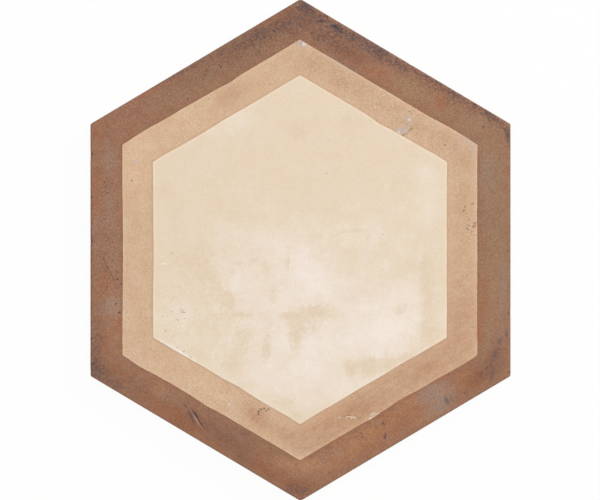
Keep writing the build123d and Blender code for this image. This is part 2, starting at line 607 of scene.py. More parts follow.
BORDER_PITS = [
    (16.3, 106.4, 1.3, 0.7, -30), (17.6, 105.3, 0.7, 0.4, -50), (9.5, 108.8, 0.9, 0.6, 10),
    (19.6, 103.8, 0.8, 0.5, -30), (23.8, 101.9, 0.5, 0.35, 0), (25.2, 102.4, 0.4, 0.3, 0),
    (12.4, 111, 1.2, 0.4, -31), (6, 113.7, 0.9, 0.4, -31), (5.4, 103.4, 0.45, 0.35, 0),
    (-12.3, 104.4, 0.5, 0.4, 0), (-16.4, 105.3, 0.35, 0.3, 0), (-21.7, 104.4, 0.35, 0.3, 0),
    (-19.8, 93.9, 0.4, 0.35, 30), (-18.9, 96.7, 0.4, 0.3, 0), (-20.5, 92.9, 0.4, 0.3, 0),
    (-13.9, 100.7, 0.4, 0.35, 0), (-3, 103.2, 0.35, 0.3, 0), (-28.2, 92.1, 0.4, 0.3, 0),
    (-53.6, 72.1, 0.5, 0.4, 0), (17, 96.7, 0.45, 0.4, 0), (73.2, 69.5, 0.5, 0.4, 0),
    (82.5, 69.4, 0.6, 0.35, -40), (87, 58.6, 0.5, 0.4, 0), (-93.2, 32.4, 0.4, 0.4, 0),
    (-91.7, 27.2, 0.4, 0.4, 0), (-97.6, -34.3, 0.35, 0.3, 0), (-87.1, -13.8, 0.6, 0.4, 30),
    (-85.2, -15.9, 0.5, 0.3, -40), (-87.3, -18.2, 0.6, 0.35, 40), (-87.8, -25.7, 0.6, 0.4, 70),
    (-86, -29.9, 0.7, 0.4, 20), (-73.6, -67.6, 0.3, 0.22, -20), (40.4, -87.8, 0.7, 0.35, 80),
    (40.1, -88.9, 0.6, 0.3, 70), (39.1, -82.5, 0.45, 0.35, 0), (28.7, -87.2, 0.4, 0.22, -30),
    (27.4, -88.5, 0.35, 0.22, 40), (29.1, -89.3, 0.4, 0.2, -40), (26.4, -89.1, 0.3, 0.25, 0),
    (30.4, -89.6, 0.3, 0.25, 0), (26, -86, 0.3, 0.22, -30), (23, -89.8, 0.3, 0.25, 0),
    (69.4, -71.4, 0.3, 0.5, 20), (99.5, -58, 0.4, 0.6, 0), (99.3, -30.2, 0.4, 0.6, 0),
    (-99.2, 45.7, 0.5, 0.9, 0), (-99.3, 25.2, 0.4, 0.7, 0), (-99.3, 4.3, 0.5, 0.9, 0),
    (-99.3, -42.4, 0.4, 0.7, 0), (-98.9, -54.6, 0.6, 0.4, 0), (99, 54.2, 0.4, 1.6, 0),
]
BORDER_SCRATCHES = [
    *hairline(0.16, (-24.1, 102.1), (-23, 99.4), (-21.6, 96.1)),
    *hairline(0.14, (-17.2, 103.4), (-16.7, 100.7)), *hairline(0.16, (-39.1, 88.4), (-37.2, 86.7)),
    (-20.8, 99.4, 2.2, 0.12, -80),
]
SMUDGES = [
    (95, -42.9, 1.5, 1, 40), (98.1, -39.7, 2, 0.7, 85), (92.4, -49.7, 2, 1, 60),
    (91.2, -60, 2.3, 0.8, 80), (69.6, -71.4, 2.2, 0.9, 115), (39.3, -82.5, 1.3, 0.9, 0),
    (40.2, -88.4, 1.5, 0.7, 80), (71.6, -70.2, 1.2, 0.4, 105), (73.3, 73.4, 1.6, 0.7, -35),
    (17, 105.8, 2.4, 0.9, -31), (2.6, 117, 2.4, 1.2, -60), (98.6, 54, 2.4, 0.8, 90),
]
VEINS = [
    *hairline(0.24, (53.4, 85), (56.1, 83.8), (58.9, 82.8), (61.3, 81.6), (63.7, 80), (65.7, 79.2)),
    *hairline(0.24, (66.5, 77.8), (68, 76.6), (69.7, 75.9), (70.9, 74.7), (72.8, 74.9), (74.8, 73)),
    *hairline(0.24, (82.3, 69.7), (83.1, 68.7)), *hairline(0.24, (96.3, 58), (97.4, 56.6), (98.6, 54)),
    *hairline(0.24, (85.5, 67.5), (87.1, 66.9), (88.7, 65.5), (88.9, 63.1), (90.3, 60.8)),
    *hairline(0.22, (-93.6, -3.8), (-92.3, -7.1), (-91, -10),
        (-89.6, -12.6), (-88.1, -15.1), (-87.4, -16.4)),
    *hairline(0.22, (-88.4, -10.4), (-87.2, -9.8), (-86.8, -10.9), (-87.8, -11.3)),
    *hairline(0.22, (-88.7, -19.9), (-88.1, -22.3)),
]
RUBS = [
    (11.8, 110.2, 1, 0.25, -50), (7.8, 105.4, 1.8, 0.2, 75), (13.9, 100.4, 1.6, 0.22, -35),
    (18.2, 104.6, 0.8, 0.25, -40), (-15.2, 107.8, 2.2, 0.4, 30), (-12.2, 110.6, 0.6, 0.4, 30),
    (-8.8, 112.5, 0.6, 0.4, 30), (88.6, 28.4, 1.5, 0.2, -44),
]
# The gouge is pressed into the mesh and also painted: its groove dark as painted shade, a thin pale line
# on its lit wall as a painted highlight, and a dark patch beside it as a painted shadow.
GOUGE = [(-50, -78.3, 2.6, 0.55, -54), (-48, -81.8, 4.2, 0.32, -57), (-54.9, -74.1, 1.5, 0.2, -51)]
GOUGE_HIGHLIGHT = [(-49.4, -81.2, 3, 0.26, -60), (-49.3, -80.8, 7.6, 0.16, -57)]
GOUGE_SHADOW = [(-52.1, -78.9, 2.3, 0.75, -64), (-51, -81.3, 1.4, 0.45, -60)]
EDGE_NICKS = [
    (-99.6, 45.7, 1.4), (-99.7, 4.3, 1.1), (-99.5, -58, 1.2), (99.6, -30, 1.4), (52.3, 88.4, 1),
]
print(len(BORDER_PITS), "pits and", len(VEINS), "stretches of vein on the border")

# %% Pits, cracks and chips of the band and field: x, y, half length, half width, turn
# The last three marks of this list are a painted shadow along the row of chips on the lower right of the
# band.
BAND_PITS_AND_SHADOWS = [
    (51.6, 65.7, 0.5, 0.35, 0), (53, 65, 0.45, 0.3, 0), (48.9, 54.5, 0.55, 0.4, 40),
    (68.9, 50, 0.4, 0.3, 0), (78.4, 20.6, 0.6, 0.38, 55), (77.5, 18.7, 0.6, 0.4, 50),
    (80.2, 14.6, 0.6, 0.3, -20), (79.9, 11.7, 1, 0.3, -22), (79.5, 10.1, 1, 0.35, -35),
    (82.4, 11.1, 0.4, 0.35, 30), (83, 12.8, 0.8, 0.3, -35), (81.4, 8.6, 0.5, 0.3, 60),
    (-80.3, 32.9, 0.55, 0.5, 0), (-82.6, -29.6, 0.4, 0.3, 0), (-81.7, -31.9, 0.4, 0.3, 0),
    (-68.8, 27.4, 0.35, 0.3, 0), (36, 61.4, 0.35, 0.3, 0), (-14.6, 79, 0.3, 0.3, 0),
    (-43.6, 72, 0.3, 0.3, 0), (-11, -85.6, 0.3, 0.3, 0), (23.3, -78.6, 1.3, 0.2, 5),
    (26.2, -78.8, 0.4, 0.25, 0), (23, -80.2, 0.4, 0.2, 0),
]
BAND_HOLES = [
    (-19.9, -77, 0.8, 0.45, 55), (-18.8, -75.8, 0.5, 0.45, 0), (-17.3, -75.4, 0.6, 0.4, 20),
    (-15.2, -75.8, 0.5, 0.4, 0), (-20.2, -78.2, 0.4, 0.3, 0), (-16.4, -76.5, 0.4, 0.3, 0),
]
BAND_CRACKS = [
    *hairline(0.26, (48.9, 54.5), (50.2, 55.3), (51, 55.8), (51.8, 56.9), (53.3, 58)),
    (82.2, -36.7, 1.2, 0.16, 0),
]
BAND_SCRAPES = [(82, 22.1, 1, 0.5, 5), (83.2, 12.2, 0.9, 0.6, 70), (82.9, 11.4, 0.8, 0.5, 0)]
BAND_CHIPS = [
    (1.7, 97.8, 0.8, 0.6, 20), (-33.8, -73.4, 0.5, 0.4, 0),
    *hairline(0.16, (18.4, -79.9), (19.4, -79.7)),
    *hairline(0.22, (21.2, -80.1), (22.7, -79.2),
        (23.6, -79.4), (24.1, -80), (25.3, -79.3), (26.5, -79.9)),
]
BAND_FLAKES = [
    *hairline(0.36, (32.7, -80.2), (34.6, -79.5), (35.9, -78.7), (37.6, -77.7)),
    *hairline(0.4, (33.2, -78.5), (35.3, -77.8)), (51.7, 62, 0.6, 0.9, -8), (46.8, 56, 0.8, 0.4, -20),
]
FIELD_PITS = [
    (-56.3, -28.6, 1.4, 0.2, -3), (-55.6, -29.6, 1.3, 0.15, -3), (-65.4, -31.6, 0.3, 0.3, 0),
    (-60.9, -29.2, 0.3, 0.25, 0), (-58.4, -33.4, 0.3, 0.3, 0), (-55, -32.4, 0.3, 0.3, 0),
    (-60.5, -41.2, 0.3, 0.3, 0), (-64.2, -38.4, 0.3, 0.25, 0), (-61, -1.5, 0.5, 0.25, 40),
    (12.4, 36.4, 0.25, 0.25, 0), (0.9, 18.5, 0.25, 0.25, 0), (39.2, 7.5, 0.3, 0.25, 0),
    (-58.8, -46.4, 0.3, 0.24, 0), (-55.6, -48.2, 0.35, 0.22, -31), (-52, -50.8, 0.3, 0.24, 0),
]
FIELD_CHIPS = [
    (-65.4, -6.6, 1.8, 0.28, 4), (-66.2, -43.6, 0.6, 0.3, -31), (-63.2, -45.2, 0.8, 0.3, -31),
    (-60.4, -46.8, 1, 0.32, -31), (-57.2, -48.5, 1, 0.34, -31), (-54.4, -50.3, 0.8, 0.3, -31),
    (-50.6, -52.5, 0.7, 0.3, -31), (-47, -54.8, 0.5, 0.3, -31),
]
print(len(BAND_PITS_AND_SHADOWS) + len(FIELD_PITS), "pits on the band and field")

# %% [markdown]
# ## Pressing the marks into the mesh
# The relief only takes clay away, so the face never stands proud of the solid. Long low waves and a fine
# unevenness come from noise, and each larger mark is a dish. Marks narrower than the mesh are left to the
# finish. Where the edge was knocked, its arris is pushed in and down.

# %% Pressing the marks into the mesh
LONG_WAVE = {"length": 34.0, "height": 0.05, "seed": 3.5}
SHORT_WAVE = {"length": 3.2, "height": 0.02, "seed": 8.5}
LEAST_WIDTH = 0.5
PIT_DEPTH = 0.15
GOUGE_DEPTH = 0.35
NICK_DEPTH = 0.12
NICK_REACH_DOWN = 3.0
NICK_REACH_IN = 0.1

shape = np.array(points)


def reach(spots, mark):
    """How far points are from a mark's middle: 1 on its edge."""
    x, y, length, width, turn = mark[:5]
    angle = math.radians(turn)
    across = spots[:, :2] - (x, y)
    along = across @ np.array((math.cos(angle), math.sin(angle))) / length
    beside = across @ np.array((-math.sin(angle), math.cos(angle))) / width
    return np.hypot(along, beside)


def dish(spots, marks, depth):
    """How deep a list of marks goes at each point."""
    deepest = np.zeros(len(spots))
    for mark in marks:
        if min(mark[2:4]) >= LEAST_WIDTH:
            inside = np.clip(1 - reach(spots, mark) ** 2 / 2, 0, 1)
            deepest = np.maximum(deepest, depth * inside)
    return deepest


def waves(spots, length, height, seed):
    """Noise from 0 to the height of a wave."""
    lumps = [noise.noise(Vector((x / length, y / length, seed))) for x, y in spots[:, :2]]
    return height * (0.5 + 0.5 * np.array(lumps))


on_face = shape[:, 2] > border_level - 0.5 * ARRIS_RADIUS
face = shape[on_face]
worn = waves(face, **LONG_WAVE) + waves(face, **SHORT_WAVE)
worn += dish(face, BORDER_PITS + BAND_CHIPS, PIT_DEPTH)
worn += dish(face, GOUGE, GOUGE_DEPTH)
shape[on_face, 2] -= worn

near_edge = (shape[:, 2] > border_level - NICK_REACH_DOWN) & (np.array(zones) < NICK_REACH_IN)
for x, y, size in EDGE_NICKS:
    gap = np.hypot(shape[:, 0] - x, shape[:, 1] - y) / size
    knocked = np.where(near_edge, NICK_DEPTH * np.exp(-gap**2), 0)
    inward = shape[:, :2] / np.linalg.norm(shape[:, :2], axis=1).clip(1)[:, None]
    shape[:, :2] -= inward * knocked[:, None]
    shape[:, 2] -= knocked
print("deepest mark", round(worn.max(), 2), "mm")

# %% [markdown]
# ## Stains
# Firing and use left their stains: soot and grey ash, rust, ochre and khaki in the clay, and chalky
# clouds and a tea-coloured wash on the field. Each is a list of soft patches, marks with a strength,
# and becomes one number at each point of the mesh. The finishes break these soft numbers up with fine
# noise. Three more lists say where the clay is flecked, where it is coarse and where the chalk ran in
# drips, and a last one holds places that are simply a little lighter or darker.

# %% Soot and ash: x, y, half length, half width, turn, strength
SOOT = [
    (2.6, 116.4, 5, 4, -60, 0.8), (9, 110, 8, 4, -31, 0.6), (16.5, 106, 6, 2.6, -31, 0.8),
    (24.5, 101.6, 9, 3.4, -31, 0.65), (36, 95.2, 12, 4.2, -31, 0.9), (47.5, 88, 5, 2.4, -31, 0.65),
    (60, 82, 12, 3.2, -31, 0.55), (74, 73.6, 8, 3.2, -35, 0.55), (85, 67.4, 9, 2.8, -31, 0.5),
    (92, 62.8, 6, 3, -31, 0.65), (98, 57.6, 4, 2, -50, 0.5), (98.6, 50, 8, 1.8, 90, 0.42),
    (-19, 102.6, 8, 4, 25, 0.6), (-28, 97.8, 9, 3.6, 31, 0.5), (-40, 93.4, 10, 2.2, 31, 0.5),
    (-51, 87.4, 9, 1.8, 31, 0.55), (-61, 82, 7, 1.4, 31, 0.5), (-70.6, 76.4, 5, 1.5, 31, 0.4),
    (-7, 107, 8, 5, 25, 0.5), (-97.6, -56.4, 7, 5, -60, 0.65), (-88, -64, 9, 3, -31, 0.55),
    (-97, -44, 10, 3.6, 90, 0.5), (-27.4, -86.6, 6, 2.6, -31, 0.45), (-1, -114, 8, 4.6, 0, 0.55),
    (87, -58, 8, 3.4, 31, 0.4), (76, -69.4, 10, 1.6, 31, 0.4), (93, -50, 7, 3.4, 65, 0.4),
    (86, 15, 9, 2.2, 90, 0.25), (-99.3, -5, 60, 0.8, 90, 0.5), (99.6, 5, 40, 0.6, 90, 0.25),
    (10, 101, 9, 4.4, -20, 0.5), (-52, -76.4, 4, 3, -50, 0.35), (-57, -83.6, 6, 2, -31, 0.4),
    (-30, -98, 30, 2, -31, 0.15), (18, 96.4, 11, 4.4, -31, 0.45), (0, 110, 9, 6, 0, 0.3),
    (41, 91, 10, 3.4, -31, 0.18),
]
ASH = [
    (-90.6, 43, 10, 4.4, 90, 0.7), (-91, 20, 14, 3.4, 90, 0.5), (-92, -26.8, 6, 4.6, 20, 0.7),
    (62, -68.5, 8, 5.6, 31, 0.82), (66, -75, 8, 5.4, 31, 0.85), (89, 41, 8, 4.4, 85, 0.6),
    (90, 31, 8, 4.6, 80, 0.5), (93, 12, 11, 5, 90, 0.4), (97, -14, 16, 2.8, 90, 0.7),
    (-89, -6, 9, 4, 90, 0.35), (88, 61, 8, 3.4, -31, 0.4), (96.6, -28, 8, 3, 90, 0.5),
    (-64.4, -69.4, 6, 3, -31, 0.35), (-76, -64, 7, 3, -31, 0.25), (94, -40, 6, 4, 60, 0.4),
    (-60, 76, 26, 7, 31, 0.3), (96, 40, 16, 3, 90, 0.3), (-97, 10, 12, 3, 90, 0.45),
    (13, -99, 16, 6, 31, 0.35), (-88.6, -27, 8, 5, 90, 0.5), (-89, 6, 12, 5, 90, 0.3),
    (1.4, 98, 2.6, 2, 0, 0.9), (-2.4, 98, 3, 1.4, 25, 0.6), (51.7, 62.3, 2.6, 1.7, 80, 1),
    (47.9, 56.6, 3.4, 2, -20, 1), (50.2, 57.6, 2.6, 1.6, 40, 0.6), (79, 52.4, 7, 2.4, -42, 0.5),
    (82, 47, 5, 2.2, 90, 0.4), (-78.9, 42.2, 1.5, 1.3, 0, 0.9), (-33.4, -73.2, 1.6, 1.3, 0, 0.8),
    (17, 89.6, 8, 1, -31, 0.7), (24, 85.6, 3, 1.2, -31, 0.6), (68, 53, 12, 5, -31, 0.24),
    (-78, 42, 16, 6, 90, 0.12), (58.6, -68.6, 3.6, 3.6, 0, 0.5), (70.4, -69, 5, 4.6, 31, 0.5),
    (67.6, -64.4, 5, 2.6, 31, 0.4),
]
print(len(SOOT), "patches of soot,", len(ASH), "of ash")

# %% Rust, chalk and tea: x, y, half length, half width, turn, strength
RUST = [
    (-97.4, 22, 24, 2.4, 90, 0.65), (-96.8, 56, 4.6, 3.4, 60, 0.7), (-93, -16, 9, 4, 90, 0.55),
    (-79.8, 56.2, 2.2, 1.4, 30, 0.9), (-72, 74.6, 7, 2.2, 31, 0.5), (-9.6, 109, 5, 1.8, 31, 0.6),
    (20, 95.6, 10, 3.6, -31, 0.55), (35, 84.6, 11, 4, -31, 0.6), (66, 70.4, 5.4, 3.4, 60, 0.7),
    (88, -22, 14, 4, 90, 0.5), (85.8, -39, 6, 2, 90, 0.5), (52, -76, 12, 6, 31, 0.4),
    (36, -88, 13, 5, 31, 0.6), (82, -61.4, 9, 5, 31, 0.9), (-56, -82, 10, 4.4, -36, 0.66),
    (-40, -94, 8, 2.6, -31, 0.4), (-68, -75, 13, 3.4, -31, 0.5), (-86, -37, 7, 2.6, 90, 0.6),
    (20, -101, 13, 4.6, 31, 0.45), (-16, -104, 12, 4.4, -31, 0.7), (0, -112, 8, 4.4, 0, 0.65),
    (-94, -46, 9, 5, 90, 0.5), (97.4, 36, 8, 1.6, 90, 0.3), (86.4, 8, 10, 1.6, 90, 0.2),
    (-50, -84, 50, 8, -31, 0.32), (44, -84, 44, 8, 31, 0.4), (-95, -30, 16, 4, 90, 0.15),
    (-86, -58, 10, 4, -31, 0.4), (-78, 12, 12, 5, 90, 0.16), (-78, -18, 10, 5, 90, 0.12),
    (-33, 74, 11, 5.4, 31, 0.5), (77, 22, 34, 8, 90, 0.28), (77, -34, 18, 11, 90, 0.52),
    (62, -55, 22, 12, 31, 0.57), (38, -69.6, 22, 12, 31, 0.45), (11, -86, 16, 11, 31, 0.64),
    (77, -12, 14, 8, 90, 0.25), (26, -77, 12, 7, 31, 0.5), (-20.6, -79.4, 10, 5.4, -31, 0.68),
    (-6, -89, 9, 5, -31, 0.5), (4, 89, 12, 6, 0, 0.35), (20, 80, 13, 6, -31, 0.4),
    (52, 61, 34, 7, -31, 0.22), (70, 50, 8, 5, -31, 0.2),
]
CHALK = [
    (4, -34, 66, 40, 0, 0.55), (4, -13, 10, 13, 10, 0.72), (41, -38, 19, 12, 20, 0.86),
    (5, -54, 22, 18, 0, 0.45), (50, -20, 14, 8, 0, 0.4), (-28, -14, 16, 14, 10, 0.4),
    (34, 6, 28, 14, 0, 0.2), (-58, -48.4, 12, 1.5, -31, 0.5), (-32, 60, 14, 7, 31, 0.36),
    (60, 33, 9, 15, 0, 0.32), (-14, 1, 18, 7, -10, 0.4), (-4, 11, 46, 10, 0, 0.22),
    (-3, -42, 10, 5, 0, 0.3), (18, -66, 10, 7, 31, 0.25), (-20, -62, 8, 10, 0, 0.35),
    (44, -58, 26, 4, 31, 0.3), (-6, -66, 14, 11, 0, 0.3), (62, 14, 9, 18, 0, 0.16),
    (-60, -32, 12, 12, 0, 0.08), (52, 22, 16, 12, 0, 0.12),
]
TEA = [
    (6, -29.6, 11.5, 5, 8, 0.95), (-5.5, -31.6, 6.5, 2.2, 0, 0.9), (-2.5, -40.6, 5, 9, 0, 0.95),
    (17, -31, 6, 3, 0, 0.5), (6, -37, 9, 5, 0, 0.6), (60.8, -24, 5, 22, 0, 0.85),
    (60.6, -40, 5.6, 7, 0, 0.72), (60.2, -7, 4, 9, 0, 0.75), (23.6, -56, 4, 5, 0, 0.98),
    (32, -55.8, 7, 6.2, 0, 1), (32.2, -53.2, 4.6, 3.4, 0, 0.6), (41.6, -55, 6, 5, 10, 0.88),
    (50.5, -51.2, 8, 3.4, 28, 0.85), (-51, -6, 14, 8, -15, 0.68), (-44, -15, 12, 8, -45, 0.68),
    (-35, -24.5, 6, 7, 35, 0.85), (-47, 1.5, 6.5, 4, -20, 0.6), (-28.6, -6.4, 4.6, 2, -15, 0.7),
    (-22, -4.6, 4, 2, 25, 0.7), (-17, -8, 3, 4.4, 20, 0.7), (-6, -5.8, 2.4, 4.4, 10, 0.75),
    (-6, 1.6, 1.8, 1.8, 0, 0.6), (-13, -21, 3.6, 5.6, 0, 0.7), (-33, -10, 2.4, 3, 0, 0.6),
    (-26, -30.8, 9, 1.5, 3, 0.75), (-40, -36, 16, 7, 0, 0.5), (-16, -46, 3.6, 11, -5, 0.82),
    (-27, -43, 5, 12, -15, 0.7), (-33, -54, 7, 7, 0, 0.7), (-6.5, -73, 8.5, 8, 0, 0.62),
    (-1, -79, 5, 4, 0, 0.65), (24.6, 9.2, 11, 1.4, 5, 0.75), (31.8, 4.6, 2.6, 5, -10, 0.75),
    (50, -7.6, 5, 2.4, 0, 0.55), (39, -9.4, 3.6, 1.4, 0, 0.5), (47.6, -28.6, 5, 4.4, 30, 0.65),
    (39.6, -27, 4, 1.2, 0, 0.5), (-2, 55.6, 5.5, 5.5, 0, 0.95), (22, 62, 3, 4, 0, 0.7),
    (-42, 32, 3, 5, -10, 0.7), (-64.5, 28, 8, 7, 0, 0.7), (-57, 19.6, 5, 4, 0, 0.5),
    (-4.4, 29.6, 3.4, 4, 0, 0.5), (16, 50, 26, 20, 0, 0.4), (-62, -22, 10, 14, 0, 0.3),
]
print(len(RUST), "patches of rust,", len(CHALK), "of chalk,", len(TEA), "of tea")

# %% Ochre, khaki, flecks, coarse clay and drips: x, y, half length, half width, turn, strength
OCHRE = [
    (52, 77, 12, 5.4, -31, 0.35), (52, -73, 10, 5, 31, 0.55), (34, -86, 18, 6, 31, 0.55),
    (6, -102.6, 12, 4.6, 0, 0.75), (22, -95, 12, 6, 31, 0.5), (-67, -67, 5, 4.4, -31, 0.75),
    (-88.6, -26, 9, 4.4, 90, 0.6), (-89, -8, 12, 4.4, 90, 0.4), (-90, 14, 16, 5, 90, 0.3),
    (37, 84, 8, 4.4, -31, 0.35), (-88, -46, 8, 3, 90, 0.3), (58, -80, 16, 4, 31, 0.6),
    (78, -62, 10, 5, 31, 0.5), (-8, -101, 7, 4, -20, 0.5),
]
KHAKI = [
    (92, 32, 36, 9, 90, 0.75), (92, -14, 26, 9, 90, 0.7), (88, -40, 12, 5, 90, 0.6),
    (80, 60, 13, 6, -31, 0.8), (-46, 81, 30, 7, 31, 0.55), (54, 76, 16, 5.4, -31, 0.8),
    (50, -76, 11, 6, 31, 0.3), (-16, 97, 14, 6, 31, 0.5),
]
FLECKED = [
    (-26.5, 99.5, 11, 5, 31, 0.8), (24, 101.4, 26, 4.4, -31, 0.9), (72, 74, 30, 4.4, -31, 0.7),
    (28, -88.4, 3.4, 2.4, -20, 0.8), (-90, -14, 14, 5, 90, 0.6), (-96, -55, 7, 6, -60, 0.6),
    (-20.7, 93, 4, 2.6, 0, 0.6), (0, 114, 8, 5, 0, 0.6), (-8, 107, 9, 5, 25, 0.5),
    (0, -113, 8, 5, 0, 0.4), (88, -56, 10, 5, 31, 0.4), (86, 8, 24, 4, 90, 0.3),
]
COARSE = [
    (40, 69, 44, 8, -31, 0.9), (0, 100, 40, 14, 0, 0.8), (60, 82, 50, 5, -31, 0.9),
    (77, 10, 30, 6, 90, 0.5), (30, -74, 46, 8, 31, 0.7), (-40, -70, 40, 8, -31, 0.6),
    (-92, 10, 60, 9, 90, 0.5), (-56, -30, 20, 16, 0, 0.6), (-40, 88, 50, 8, 31, 0.7),
]
DRIPS = [
    (-34, -44, 22, 14, -30, 0.9), (38, -50, 18, 6, 20, 0.6), (-5, -42, 12, 11, 0, 0.6),
    (50, -29, 10, 6, 0, 0.7), (-42, -12, 14, 14, 0, 0.5),
]
print(len(OCHRE), "patches of ochre,", len(KHAKI), "of khaki,", len(FLECKED), "flecked")

# %% Lighter and darker places: x, y, half length, half width, turn, change
SHADES = [
    (-16, 103, 24, 8, 31, -0.2), (-44, 86, 24, 6, 31, -0.14), (0, 113, 10, 6, 0, -0.1),
    (14, 102, 14, 7, -31, -0.08), (24, 94, 10, 5, -31, -0.14), (-97, -55, 9, 6, -60, -0.16),
    (-84, -62, 16, 6, -31, -0.14), (-36, -89, 20, 6, -31, -0.22), (0, -114, 9, 5, 0, -0.16),
    (-20, -104, 14, 4, -31, -0.1), (92, -52, 9, 6, 90, -0.14), (84, -61, 10, 4.4, 31, -0.16),
    (-56, -80, 12, 6, -31, -0.1), (-3, 105, 10, 6, 0, -0.08), (-78, 40, 20, 7, 90, 0.06),
    (-60, 61, 20, 7, 31, 0.04), (-50, -63, 22, 6, -31, 0.05), (30, -90, 28, 6, 31, 0.07),
    (-1, -102, 11, 5, 0, 0.09), (66, -69, 8, 5, 31, 0.09), (-88.6, -34, 15, 3.6, 90, 0.1),
    (93, 18, 44, 8, 90, -0.045), (-72, -71, 12, 5, -31, -0.05), (50, -83.6, 5, 4, 31, -0.09),
    (-30, -98, 30, 3, -31, -0.05), (-96, -40, 16, 4, 90, -0.07), (-88.6, -16, 14, 4, 90, 0.05),
    (86, -60, 8, 5, 31, -0.04), (-96, 57, 5, 4, 60, -0.05), (-52, -80, 6, 5, -31, -0.03),
    (52, 61, 10, 5, -31, -0.025), (77, 40, 12, 6, 90, -0.035), (98, -14, 16, 2.4, 90, -0.04),
    (56, -68, 10, 3.4, 31, 0.07), (11, -78.6, 11, 4, 31, 0.06), (2, -95.6, 6, 3.4, 20, -0.09),
    (-72.6, 13, 10, 3, 90, -0.035), (50, 73, 14, 3, -31, 0.055), (-87.4, 28, 14, 2.4, 90, 0.04),
    (72, -28, 10, 3, 90, -0.03), (-70, -60.4, 14, 3.4, -31, 0.035), (-8, -110, 6, 4, -31, -0.05),
]
FADE = 1.2


def soft_patch(patch):
    """The strength of one patch at each point, fading outwards."""
    strength = patch[5]
    return strength * np.exp(-FADE * reach(shape, patch) ** 2)


def stain(patches):
    """Soft patches laid over each other, as a number from 0 to 1 at each point."""
    return 1 - np.prod([1 - soft_patch(patch) for patch in patches], axis=0)


patches = {"soot": SOOT, "ash": ASH, "rust": RUST, "ochre": OCHRE, "khaki": KHAKI, "flecked": FLECKED}
patches.update({"chalk": CHALK, "tea": TEA, "drips": DRIPS, "coarse": COARSE})
stains = {name: stain(laid) for name, laid in patches.items()}
stains["shade"] = np.sum([soft_patch(patch) for patch in SHADES], axis=0)
print({name: (round(values.min(), 2), round(values.max(), 2)) for name, values in stains.items()})

# %% [markdown]
# ## Making the mesh
# The numbers become a mesh object at last, scaled to metres. The zone and the stains go along as
# attributes of its points.

# %% Making the mesh
tile_mesh = bpy.data.meshes.new("fired_tile")
tile_mesh.from_pydata((shape * MM).tolist(), [], faces)
tile_mesh.polygons.foreach_set("material_index", finishes)
for name, values in {"zone": zones, **stains}.items():
    carried = tile_mesh.attributes.new(name, "FLOAT", "POINT")
    carried.data.foreach_set("value", np.asarray(values, dtype=np.float32))
fired_tile = bpy.data.objects.new("fired_tile", tile_mesh)
bpy.context.scene.collection.objects.link(fired_tile)
print(len(tile_mesh.vertices), "vertices,", len(tile_mesh.polygons), "faces")

# %% [markdown]
# ## Back
# The back lies in the bed and never shows, but a tile in the hand has one: a level rim and a honeycomb
# of shallow pockets. The solid has them already, so the walls and floors of its pockets are copied. The
# level part is filled anew between the pockets' mouths and the tile's foot, so that the mesh is closed.

# %% Back
POCKET_DEPTH = 0.8
POCKET_SLACK = 0.1
OFF_THE_BED = 0.01
SAME_SPOT = 0.002
SHARP_FROM = math.radians(48.0)

solid_mesh = frame["nodes"]["floor_tile"].data
tile = bmesh.new()
tile.from_mesh(tile_mesh)
copied = {}


def copied_point(index):
    """The mesh's own point for a point of the solid. Points of the solid at one spot are made one."""
    spot = solid_mesh.vertices[index].co
    key = tuple(round(part / MM / SAME_SPOT) for part in spot)
    if key not in copied:
        copied[key] = tile.verts.new(spot)
    return copied[key]


for polygon in solid_mesh.polygons:
    levels = [solid_mesh.vertices[index].co.z / MM for index in polygon.vertices]
    if OFF_THE_BED < max(levels) < POCKET_DEPTH + POCKET_SLACK:
        pocket_face = tile.faces.new([copied_point(index) for index in polygon.vertices])
        pocket_face.material_index = BODY
mouths = [edge for edge in tile.edges if edge.is_boundary]
filled = bmesh.ops.triangle_fill(tile, use_beauty=True, edges=mouths, normal=(0, 0, -1))
for piece in filled["geom"]:
    if isinstance(piece, bmesh.types.BMFace):
        piece.material_index = BODY
bmesh.ops.recalc_face_normals(tile, faces=tile.faces)
open_edges = sum(not edge.is_manifold for edge in tile.edges)
tile.to_mesh(tile_mesh)
tile.free()
tile_mesh.shade_smooth()
tile_mesh.set_sharp_from_angle(angle=SHARP_FROM)
triangles = sum(len(polygon.vertices) - 2 for polygon in tile_mesh.polygons)
print(triangles, "triangles,", open_edges, "edges not closed")

# %% [markdown]
# ## Marks in a finish
# The mesh's points lie about 0.7 mm apart, too far to draw a hairline. So a finish works the small
# marks out again, where each ray meets the face. Two dot products give how far a spot lies along a mark
# and beside it, as shares of its half length and half width, and the length of the two together is 1 on
# the mark's edge. A Mapping node could do the same, but so many of them are more than one shader can
# hold. The spots are first nudged by noise, so no mark is a neat ellipse.

# %% Marks in a finish
NUDGE = 0.9
NUDGE_GRAIN = 0.9
GREY_GRAIN = (0.8, 1.0, 1.25)
MATT_SHINE = 0.2
MARK_SOFTNESS = 0.6
SMUDGE_SOFTNESS = 0.9
GOUGE_SOFTNESS = 0.5
LUMP_STRENGTH = 0.8
GRIT_STRENGTH = 1.4
PLAIN_GRAIN = 0.75
COARSER_GRAIN = 0.6
FOOT_STARTS = -1.2
FOOT_FULL = -0.1
FOOT_RAGGED = 2.0
RIM_RAGGED = 1.5


